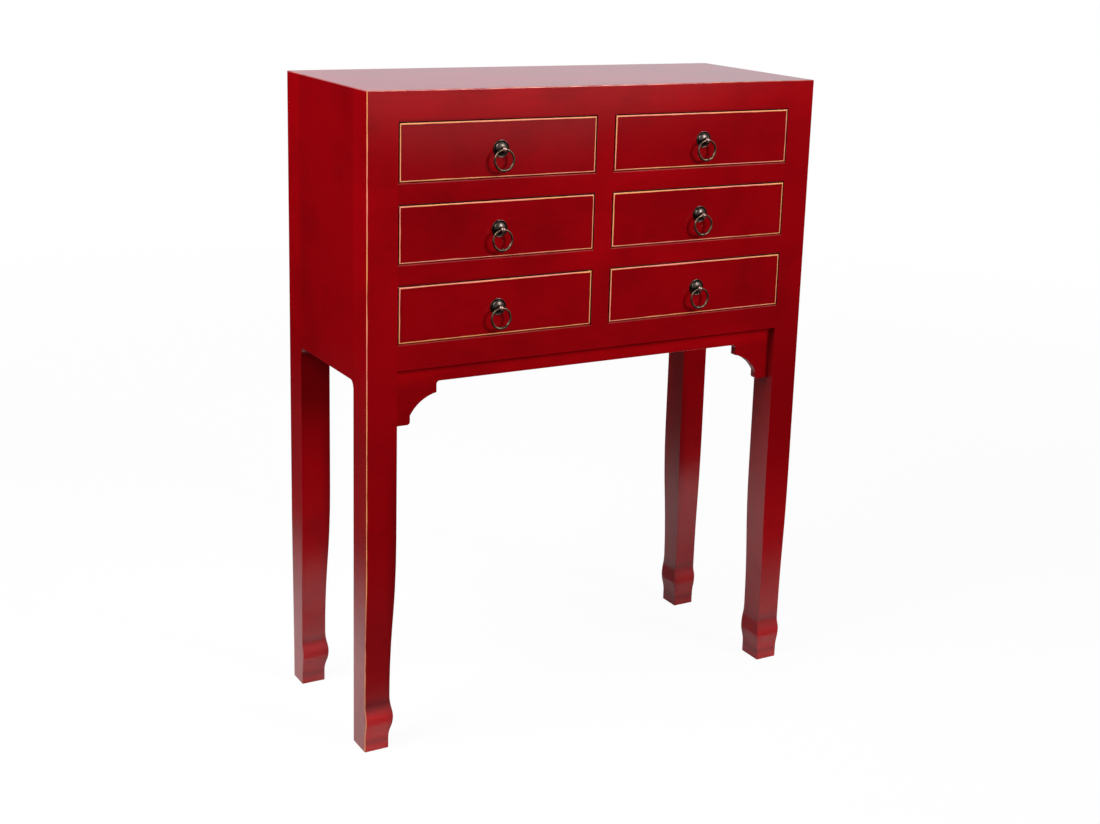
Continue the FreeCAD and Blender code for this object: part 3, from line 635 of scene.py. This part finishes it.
slotOf = {name: piece.data.materials[0].name.split(".")[0] for name, piece in nodes.items()}
pullMetal = {part: antiqueBronze(part) for part in bronze["wipedAndLit"]}
alongX = boards("paulowniaAcross", 0)
finishes = {"red_lacquer": caseLacquer(), "bare_wood": boards("paulowniaDeep", 1),
            "plywood": veneeredBoard("plywoodFlat", 2), "antique_brass": pullMetal["post"]}
special = {"back_panel": veneeredBoard("plywoodBack", 1)}
for drawer, slope in zip(drawers, drawerWear["slopes"]):
    special[drawer + "_front"] = drawerLacquer(drawer, slope)
    special[drawer + "_back"] = alongX
for name, piece in nodes.items():
    piece.data.materials.clear()
    piece.data.materials.append(special.get(name, finishes[slotOf[name]]))
print("finishes on", len(nodes), "nodes")


def newPiece(name, mesh, material, body, slot, *stoodFor):
    data = bpy.data.meshes.new(name)
    bmesh.ops.recalc_face_normals(mesh, faces=mesh.faces)
    mesh.to_mesh(data)
    mesh.free()
    if "custom_normal" in data.attributes:             # the CAD mesh's normals no longer fit the eased faces
        data.attributes.remove(data.attributes["custom_normal"])
    data.materials.append(material)
    piece = bpy.data.objects.new(name, data)
    scene.collection.objects.link(piece)
    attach(piece, body)
    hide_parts(*stoodFor)
    return piece


def softNormals(data, limit):
    # each corner takes the mean, by area, of the faces round it that turn less than the limit, so flats
    # stay flat
    around = [[] for _ in data.vertices]
    for face in data.polygons:
        for vertex in face.vertices:
            around[vertex].append(face)
    closest = math.cos(math.radians(limit))
    normals = []
    for face in data.polygons:
        for vertex in face.vertices:
            alike = [other for other in around[vertex] if other.normal.dot(face.normal) > closest]
            mean = sum((other.normal * other.area for other in alike), Vector())
            normals.append(mean.normalized())
    data.shade_smooth()
    data.normals_split_custom_set(normals)


# Eased frame: the case's red pieces, their edges sanded soft where hands can reach, their joints left tight
easing = {"width": 0.7 * mm, "steps": 3, "corner": 35.0, "probe": 0.5 * mm, "weld": 0.001 * mm, "flat": 0.2,
          "smooth": 35.0, "sole": 2.2 * mm, "soleSteps": 4}
frameNodes = [name for name in nodes if slotOf[name] == "red_lacquer" and "drawer_front" not in name]
caseNodes = [name for name in nodes if not any(name.startswith(drawer) for drawer in drawers)]


def touches(box, other):
    probe = easing["probe"]
    return all(box[0][i] < other[1][i] + probe and box[1][i] > other[0][i] - probe for i in range(3))


def isFree(edge, others):
    # a convex corner with nothing else of the case on either side of it
    if len(edge.link_faces) != 2 or not edge.is_convex:
        return False
    if edge.calc_face_angle() < math.radians(easing["corner"]):
        return False
    first, second = (face.normal for face in edge.link_faces)
    middle = (edge.verts[0].co + edge.verts[1].co) / 2
    for towards in (first - second, second - first, first + second):
        point = middle + towards * easing["probe"]
        if any(all(low[i] < point[i] < high[i] for i in range(3)) for low, high in others):
            return False
    return True


def mergeFlats(mesh):
    bmesh.ops.dissolve_limit(mesh, angle_limit=math.radians(easing["flat"]), verts=mesh.verts,
                             edges=mesh.edges)


def roundEdges(mesh, edges, width, steps):
    bmesh.ops.bevel(mesh, geom=edges, offset=width, segments=steps, profile=0.5, affect="EDGES",
                    clamp_overlap=True)


def easedCopy(node):
    low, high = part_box(node)
    mesh = bmesh.new()
    mesh.from_mesh(nodes[node].data)
    bmesh.ops.remove_doubles(mesh, verts=mesh.verts, dist=easing["weld"])
    mergeFlats(mesh)
    boxes = [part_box(other) for other in caseNodes if other != node]
    others = [box for box in boxes if touches(box, (low, high))]
    # cut where a neighbour begins or ends, so that an edge is free or covered along its whole length
    margin = 2 * easing["width"]
    for axis in range(3):
        across = Vector([1.0 if i == axis else 0.0 for i in range(3)])
        limits = {round(corner[axis], 5) for box in others for corner in box}
        for limit in limits:
            if low[axis] + margin < limit < high[axis] - margin:
                whole = mesh.verts[:] + mesh.edges[:] + mesh.faces[:]
                bmesh.ops.bisect_plane(mesh, geom=whole, plane_co=across * limit, plane_no=across)
    mesh.normal_update()
    soles = [edge for edge in mesh.edges if max(vert.co.z for vert in edge.verts) < easing["weld"]]
    if soles:
        roundEdges(mesh, soles, easing["sole"], easing["soleSteps"])
        mesh.normal_update()
    free = [edge for edge in mesh.edges if isFree(edge, others)]
    roundEdges(mesh, free, easing["width"], easing["steps"])
    mergeFlats(mesh)
    piece = newPiece(node + "_eased", mesh, finishes["red_lacquer"], nodes[node]["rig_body"], "red_lacquer",
                     node)
    softNormals(piece.data, easing["smooth"])


for node in frameNodes:
    easedCopy(node)
print("eased", len(frameNodes), "frame pieces")


# Pulls: a cast rosette with a bead, a groove and a dome, and a ring that thickens to a knop at its foot
pull = {
    "bead": 0.6 * mm, "groove": 8.9 * mm, "grooveFloor": 0.5 * mm, "domeRadius": 8.3 * mm,
    "domeFoot": 0.6 * mm, "domeHeight": 3.9 * mm, "hole": 2.05 * mm, "turns": 72, "arcSteps": 8,
    "ring": 12.6 * mm, "wireTop": 1.15 * mm, "wireFoot": 1.6 * mm, "wireSides": 20, "wireSteps": 96,
    "knop": 2.35 * mm, "knopHalf": 2.5 * mm, "knopTip": 0.005,         # the tip's half width, in radians
    "neck": 1.25 * mm, "neckHalf": 0.35 * mm,
}


def joinLoops(mesh, loops):
    # quads between neighbouring closed loops, and from the last loop back to the first
    count = len(loops[0])
    for here, there in zip(loops, loops[1:] + loops[:1]):
        for i in range(count):
            j = (i + 1) % count
            mesh.faces.new((here[i], here[j], there[j], there[i]))


def rosette(drawer):
    low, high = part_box(drawer + "_pull_rosette")
    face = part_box(drawer + "_front")[0].y
    rim = (high.x - low.x) / 2
    beadCentre = rim - pull["bead"]
    outline = [(pull["hole"], 0.0), (rim, 0.0)]        # radius and height
    for i in range(pull["arcSteps"] + 1):
        turn = math.pi * i / pull["arcSteps"]
        outline.append((beadCentre + pull["bead"] * math.cos(turn), pull["bead"] * (1 + math.sin(turn))))
    outline += [(pull["groove"], pull["grooveFloor"]), (pull["domeRadius"], pull["grooveFloor"])]
    for i in range(2 * pull["arcSteps"] + 1):
        turn = math.pi / 2 * i / (2 * pull["arcSteps"])
        radius = pull["domeRadius"] * math.cos(turn)
        if radius > pull["hole"]:
            outline.append((radius, pull["domeFoot"] + pull["domeHeight"] * math.sin(turn)))
    outline.append((pull["hole"], pull["domeFoot"] + pull["domeHeight"]))
    mesh = bmesh.new()
    loops = []
    for step in range(pull["turns"]):
        turn = 2 * math.pi * step / pull["turns"]
        loop = []
        for radius, height in outline:
            x = (low.x + high.x) / 2 + radius * math.cos(turn)
            z = (low.z + high.z) / 2 + radius * math.sin(turn)
            loop.append(mesh.verts.new((x, face - height, z)))
        loops.append(loop)
    joinLoops(mesh, loops)
    return mesh


def wireRadius(turn):
    # turn is measured from the foot; the knop is a double cone on the wire, with a narrow neck at its right
    plain = pull["wireTop"] + (pull["wireFoot"] - pull["wireTop"]) * (1 + math.cos(turn)) / 2
    along = pull["ring"] * turn
    neckAt = pull["knopHalf"] + pull["neckHalf"]
    if abs(along) < pull["knopHalf"]:
        return plain + (pull["knop"] - plain) * (1 - abs(along) / pull["knopHalf"])
    if abs(along - neckAt) < pull["neckHalf"]:
        return plain + (pull["neck"] - plain) * (1 - abs(along - neckAt) / pull["neckHalf"])
    return plain


def pullRing(drawer):
    low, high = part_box(drawer + "_pull_ring")
    centre = Vector(((low.x + high.x) / 2, (low.y + high.y) / 2, high.z - pull["wireTop"] - pull["ring"]))
    turns = {2 * math.pi * step / pull["wireSteps"] - math.pi for step in range(pull["wireSteps"])}
    knopEnd = pull["knopHalf"] / pull["ring"]
    neckWidth = pull["neckHalf"] / pull["ring"]
    turns = {turn for turn in turns if not -knopEnd < turn < knopEnd + 2 * neckWidth}
    tip = pull["knopTip"]
    turns |= {-knopEnd, -knopEnd / 2, -tip, tip, knopEnd / 2, knopEnd, knopEnd + neckWidth,
              knopEnd + 2 * neckWidth}
    mesh = bmesh.new()
    loops = []
    for turn in sorted(turns):
        out = Vector((math.sin(turn), 0.0, -math.cos(turn)))
        radius = wireRadius(turn)
        loop = []
        for side in range(pull["wireSides"]):
            angle = 2 * math.pi * side / pull["wireSides"]
            offset = out * math.cos(angle) + Vector((0.0, math.sin(angle), 0.0))
            loop.append(mesh.verts.new(centre + out * pull["ring"] + offset * radius))
        loops.append(loop)
    joinLoops(mesh, loops)
    return mesh


for drawer in drawers:
    for part, mesh, body in (("rosette", rosette(drawer), drawer),
                             ("ring", pullRing(drawer), drawer.replace("drawer", "ring"))):
        piece = newPiece(f"{drawer}_cast_{part}", mesh, pullMetal[part], body, "antique_brass",
                         f"{drawer}_pull_{part}")
        piece.data.shade_smooth()
        piece.data.set_sharp_from_angle(angle=math.radians(easing["smooth"]))
print("pulls on", len(drawers), "drawers")


def stagePiece(name, points, faces, material):
    data = bpy.data.meshes.new(name)
    data.from_pydata(points, [], faces)
    data.materials.append(material)
    piece = bpy.data.objects.new(name, data)
    scene.collection.objects.link(piece)
    return piece


# Floor: white paper, white to the eye and in far reflections, which keeps a faint shadow near the chest
floor = {"reach": 40.0, "paper": "#FAFAF8", "bounce": "#8C8C8A", "near": 1.2, "far": 3.5,
         "seenGlow": 0.95, "mirroredGlow": 0.15}


def paperFloor():
    material, tree = newMaterial("whitePaper")
    rays = addNode(tree, "LightPath").outputs
    spot = addNode(tree, "TexCoord").outputs["Object"]
    away = addNode(tree, "VectorMath", {"operation": "LENGTH"}, {0: spot}).outputs["Value"]
    nearGlow = addNode(tree, "MapRange", {"To Min": floor["seenGlow"], "To Max": floor["mirroredGlow"]},
                       {0: rays["Is Glossy Ray"]})
    share = addNode(tree, "MapRange", {"From Min": floor["near"], "From Max": floor["far"], "To Max": 1.0},
                    {0: away, "To Min": nearGlow})
    paper = addNode(tree, "BsdfDiffuse", {"Color": linearColour(floor["paper"])})
    glow = addNode(tree, "Emission", {"Color": (1, 1, 1, 1), "Strength": 1.0})
    white = addNode(tree, "MixShader", {}, {0: share, 1: paper, 2: glow})
    dim = addNode(tree, "BsdfDiffuse", {"Color": linearColour(floor["bounce"])})
    direct = addNode(tree, "Math", {"operation": "MAXIMUM"},
                     {0: rays["Is Camera Ray"], 1: rays["Is Glossy Ray"]})
    seen = addNode(tree, "Math", {"operation": "MAXIMUM"}, {0: direct, 1: rays["Is Transmission Ray"]})
    mix = addNode(tree, "MixShader", {}, {0: seen, 1: dim, 2: white})
    addNode(tree, "OutputMaterial", {}, {0: mix})
    return material


reach = floor["reach"]
square = [(-reach, -reach), (reach, -reach), (reach, reach), (-reach, reach)]
stagePiece("paperFloor", [(x, y, 0.0) for x, y in square], [(0, 1, 2, 3)], paperFloor())

# Black cloth laid on the floor round the chest, hidden from the camera: the legs mirror the paper that it
# leaves open, and the upright faces above keep their deep red. Metres, in the chest's frame.
cloth = {
    "colour": "#050505", "lift": 1 * mm, "turn": -10.4,
    "borders": {"left": (0, -0.53, -0.6), "right": (0, 0.9, 0.5), "front": (1, -0.235, -1.0),
                "back": (1, 0.6, 0.5)},                # axis, place, and how fast it closes beyond the place
    "edge": {"interpolation_type": "SMOOTHSTEP", "From Min": -0.1, "From Max": 0.1, "To Max": 0.92},
    "tail": {"From Min": 0.0, "From Max": 0.5, "To Max": 0.08},        # closes what the edge leaves open
    "ahead": {"From Min": -5.5, "From Max": -6.6, "To Max": 0.42},
    "slant": 1.04,
    "beside": {"From Min": -2.8, "From Max": -2.0, "To Min": 1.0, "To Max": 0.0},
}


def blackCloth():
    material, tree = newMaterial("blackCloth")
    spot, place = restPlace(tree)[:2]
    turned = addNode(tree, "Mapping", {"Rotation": (0, 0, -math.radians(cloth["turn"]))}, {0: spot})
    along = addNode(tree, "SeparateXYZ", {}, {0: turned}).outputs
    outside = None
    for axis, border, rate in cloth["borders"].values():
        beyond = addNode(tree, "Math", {"operation": "MULTIPLY_ADD", 1: rate, 2: -rate * border},
                         {0: along[axis]})
        if outside:
            beyond = addNode(tree, "Math", {"operation": "MAXIMUM"}, {0: outside, 1: beyond})
        outside = beyond
    edge = addNode(tree, "MapRange", cloth["edge"], {0: outside})
    tail = addNode(tree, "MapRange", cloth["tail"], {0: outside})
    laid = addNode(tree, "Math", {"operation": "ADD"}, {0: edge, 1: tail})
    # far in front the cloth thins out, and the drawers mirror a pale haze there
    ahead = addNode(tree, "MapRange", cloth["ahead"], {0: place[1]})
    slant = addNode(tree, "Math", {"operation": "MULTIPLY_ADD", 1: cloth["slant"]},
                    {0: place[1], 2: place[0]})
    beside = addNode(tree, "MapRange", cloth["beside"], {0: slant})
    thin = addNode(tree, "Math", {"operation": "MULTIPLY"}, {0: ahead, 1: beside})
    cover = addNode(tree, "Math", {"operation": "SUBTRACT"}, {0: laid, 1: thin})
    clear = addNode(tree, "BsdfTransparent")
    felt = addNode(tree, "BsdfDiffuse", {"Color": linearColour(cloth["colour"])})
    mix = addNode(tree, "MixShader", {}, {0: cover, 1: clear, 2: felt})
    addNode(tree, "OutputMaterial", {}, {0: mix})
    return material


flag = stagePiece("blackCloth", [(x, y, cloth["lift"]) for x, y in square], [(0, 1, 2, 3)], blackCloth())
flag.visible_camera = False
flag.visible_diffuse = False
flag.visible_shadow = False

# Lamps: turn is measured from straight in front, positive to the right
lamps = {
    "rightSoftbox": {"turn": 28, "rise": 27, "away": 3.2, "size": (0.9, 1.1), "power": 10.6, "spread": 70,
                     "aim": (-0.15, 0, 0.92)},
    "leftSoftbox": {"turn": -82, "rise": 46, "away": 2.4, "size": (1.1, 1.1), "power": 49, "spread": 180,
                    "aim": (0, 0, 0.7)},
    "backSoftbox": {"turn": 150, "rise": 16, "away": 4.0, "size": (5.0, 2.4), "power": 13.8, "spread": 180,
                    "aim": (0, 0, 0.41), "colour": "#F1F4FF", "mirrored": False},
}
middle = (caseLow + caseHigh) / 2
for name, lamp in lamps.items():
    turn, rise = math.radians(lamp["turn"]), math.radians(lamp["rise"])
    towards = Vector((math.sin(turn) * math.cos(rise), -math.cos(turn) * math.cos(rise), math.sin(rise)))
    light = bpy.data.lights.new(name, "AREA")
    light.shape = "RECTANGLE"
    light.size, light.size_y = lamp["size"]
    light.energy = lamp["power"]
    light.spread = math.radians(lamp["spread"])
    light.color = linearColour(lamp.get("colour", "#FFFFFF"))[:3]
    box = bpy.data.objects.new(name, light)
    box.location = middle + towards * lamp["away"]
    box.rotation_euler = (box.location - Vector(lamp["aim"])).to_track_quat("Z", "Y").to_euler()
    box.visible_camera = False
    box.visible_glossy = lamp.get("mirrored", True)
    scene.collection.objects.link(box)

# Air: dim to the chest, pale where it is mirrored, and to the eye as white as the paper
room = {"colour": "#F7F7FF", "strength": 0.32, "mirroredStrength": 0.7, "seenColour": "#FFFFFF",
        "seenStrength": 1.0}
world = bpy.data.worlds.new("studio")
scene.world = world
world.use_nodes = True
tree = world.node_tree
tree.nodes.clear()
rays = addNode(tree, "LightPath").outputs
mirrored = addNode(tree, "Math", {"operation": "MAXIMUM"},
                   {0: rays["Is Glossy Ray"], 1: rays["Is Transmission Ray"]})
pale = addNode(tree, "MapRange", {"To Min": room["strength"], "To Max": room["mirroredStrength"]},
               {0: mirrored})
strength = addNode(tree, "MapRange", {"To Max": room["seenStrength"]},
                   {0: rays["Is Camera Ray"], "To Min": pale})
tint = addNode(tree, "Mix", {"data_type": "RGBA", 6: linearColour(room["colour"]),
                             7: linearColour(room["seenColour"])}, {0: rays["Is Camera Ray"]})
air = addNode(tree, "Background", {}, {"Color": tint.outputs[2], "Strength": strength})
addNode(tree, "OutputWorld", {}, {0: air})
print("stage and", len(lamps), "lamps")

# Camera, fitted to the edges of the case; the shift is the photograph's off-centre crop
view = {"place": (-1.0513, -1.8436, 1.0086), "tilt": 76.095, "roll": -1.787, "heading": -30.073,
        "lens": 54.19, "sensor": 36.0, "shift": (-0.0227, -0.0745)}
lens = bpy.data.cameras.new("camera")
lens.lens = view["lens"]
lens.sensor_width = view["sensor"]
lens.shift_x, lens.shift_y = view["shift"]
camera = bpy.data.objects.new("camera", lens)
camera.location = view["place"]
camera.rotation_euler = [math.radians(view[key]) for key in ("tilt", "roll", "heading")]
scene.collection.objects.link(camera)
scene.camera = camera
scene.view_settings.view_transform = "Standard"
